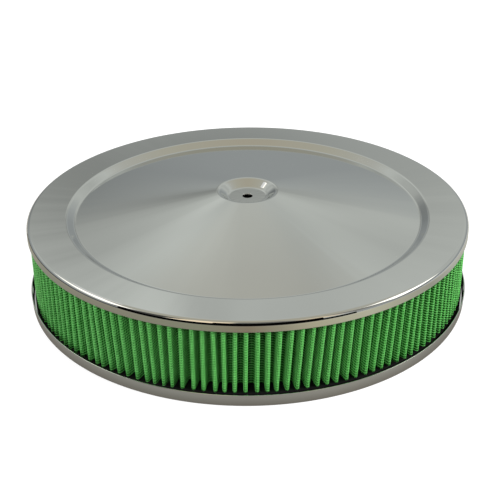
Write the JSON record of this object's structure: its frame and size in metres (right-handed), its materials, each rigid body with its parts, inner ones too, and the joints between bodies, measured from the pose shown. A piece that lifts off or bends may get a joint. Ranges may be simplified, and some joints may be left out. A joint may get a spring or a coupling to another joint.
{
  "type": "carburetor air cleaner",
  "caption": "Round open-element air cleaner: chromed lid with a dished nut seat, green pleated filter between black seal rings, and a chromed base pan with a turned-down neck.",
  "frame": {"origin": "on the axis, in the plane of the base pan's flat underside", "axes": "+Z along the axis, up from the carburetor towards the lid"},
  "size_m": [0.3591, 0.3592, 0.0831],
  "materials": {
    "chrome": "polished chrome plate on pressed sheet steel",
    "green_gauze": "oiled green cotton gauze behind a fine coated wire screen",
    "black_urethane": "satin moulded urethane",
    "black_rubber": "matt moulded rubber"
  },
  "bodies": {
    "root": {"top_lid": "chrome", "upper_seal_ring": "black_urethane", "pleated_media": "green_gauze", "lower_seal_ring": "black_urethane", "base_pan": "chrome", "neck_gasket": "black_rubber"}
  },
  "joints": []
}
